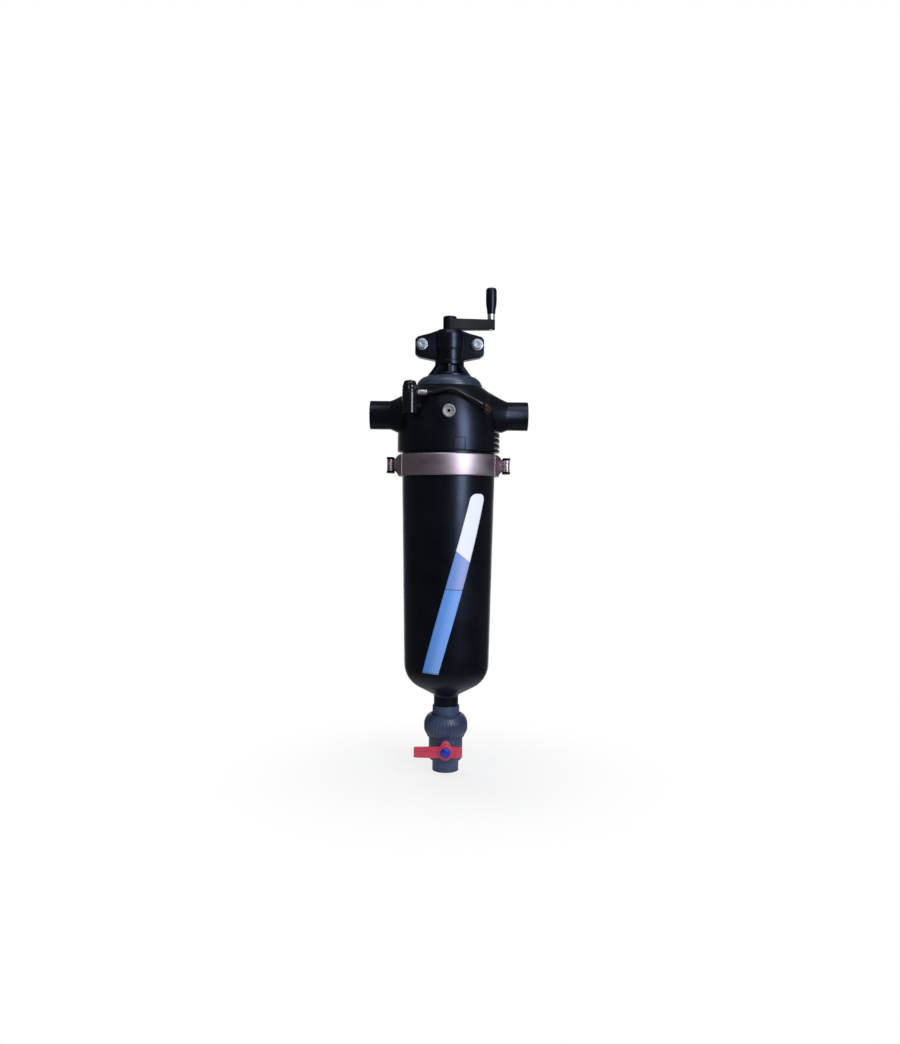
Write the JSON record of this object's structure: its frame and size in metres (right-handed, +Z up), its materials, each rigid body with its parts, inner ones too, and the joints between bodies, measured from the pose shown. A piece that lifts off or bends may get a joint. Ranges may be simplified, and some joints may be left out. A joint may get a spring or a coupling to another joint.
{
  "type": "screen filter with suction scanner",
  "caption": "Upright in-line water screen filter with side ports, clamped bowl, hand-cranked suction scanner on top and ball valve at the drain.",
  "frame": {"origin": "where the axis of the two ports crosses the filter's upright axis", "axes": "+Z up along the filter's axis, +X out of the outlet port, -Y to the front with the drain handle"},
  "size_m": [0.328, 0.2137, 1.0062],
  "materials": {
    "black_nylon": "satin moulded glass-filled nylon",
    "blue_grey_pvc": "satin moulded PVC",
    "black_rubber": "matt rubber",
    "stainless_steel": "bright rolled stainless",
    "zinc_plated_steel": "bright zinc plate",
    "plated_brass": "nickel-plated brass",
    "brass": "turned brass",
    "bronze": "turned bronze",
    "white_ptfe": "matt",
    "grey_polymer": "matt",
    "black_polyamide_tube": "satin extruded",
    "red_plastic": "satin-gloss",
    "blue_plastic": "satin-gloss"
  },
  "bodies": {
    "filter_root": {"ball_seat_lower": "white_ptfe", "ball_seat_upper": "white_ptfe", "bearing_tower": "black_nylon", "bowl": "black_nylon", "clamp_band_front": "stainless_steel", "clamp_band_rear": "stainless_steel", "clamp_bolt_left": "stainless_steel", "clamp_bolt_right": "stainless_steel", "clamp_trunnion_front_left": "stainless_steel", "clamp_trunnion_front_right": "stainless_steel", "clamp_trunnion_rear_left": "stainless_steel", "clamp_trunnion_rear_right": "stainless_steel", "cock_tube_fitting": "plated_brass", "collar_ring": "blue_grey_pvc", "control_tube": "black_polyamide_tube", "drain_bush": "grey_polymer", "ear_bolt_left": "zinc_plated_steel", "ear_bolt_right": "zinc_plated_steel", "ear_nut_left": "zinc_plated_steel", "ear_nut_right": "zinc_plated_steel", "ear_washer_left": "zinc_plated_steel", "ear_washer_right": "zinc_plated_steel", "element_lower_seal": "black_rubber", "element_upper_seal": "black_rubber", "filter_cage": "grey_polymer", "filter_mesh": "stainless_steel", "head_body": "black_nylon", "housing_front": "black_nylon", "housing_rear": "black_nylon", "joint_seal": "black_rubber", "lead_nut": "bronze", "pressure_point_plug": "stainless_steel", "seal_nut": "grey_polymer", "seat_carrier": "blue_grey_pvc", "selector_cock_body": "black_nylon", "spindle_bush": "white_ptfe", "spindle_seal": "black_rubber", "tower_seal": "black_rubber", "tube_elbow": "brass", "union_nut": "blue_grey_pvc", "union_seal": "black_rubber", "union_tail": "blue_grey_pvc", "valve_body": "blue_grey_pvc"},
    "guide_ring": {"guide_ring": "white_ptfe"},
    "scanner": {"spindle": "stainless_steel", "spindle_pin": "stainless_steel", "suction_tube": "grey_polymer", "crank_arm": "black_nylon", "hub_screw": "zinc_plated_steel", "grip_pin": "zinc_plated_steel"},
    "grip": {"crank_grip": "black_nylon", "grip_cap": "black_nylon"},
    "selector": {"selector_knob": "black_nylon"},
    "drain_valve": {"valve_ball": "blue_grey_pvc", "valve_stem": "blue_grey_pvc", "stem_seal": "black_rubber", "valve_handle": "red_plastic", "handle_cap_screw": "blue_plastic"}
  },
  "joints": [
    {"name": "scanner_lift", "type": "slide", "parent": "filter_root", "child": "guide_ring", "axis": [0, 0, 1], "range_m": [0, 0.06]},
    {"name": "crank_turn", "type": "hinge", "parent": "guide_ring", "child": "scanner", "pos_m": [0, 0, 0], "axis": [0, 0, 1], "range_deg": [0, 1800]},
    {"name": "grip_spin", "type": "hinge", "parent": "scanner", "child": "grip", "pos_m": [0.086, 0, 0.24], "axis": [0, 0, 1], "continuous": true},
    {"name": "selector_turn", "type": "hinge", "parent": "filter_root", "child": "selector", "pos_m": [-0.078, -0.08801, 0.05], "axis": [0, 0, 1], "range_deg": [-90, 90]},
    {"name": "drain_turn", "type": "hinge", "parent": "filter_root", "child": "drain_valve", "pos_m": [0, 0, -0.6881], "axis": [0, 1, 0], "range_deg": [0, 90]}
  ],
  "couplings": [
    {"joint": "scanner_lift", "follows": "crank_turn", "m_per_rad": 0.0019099}
  ]
}
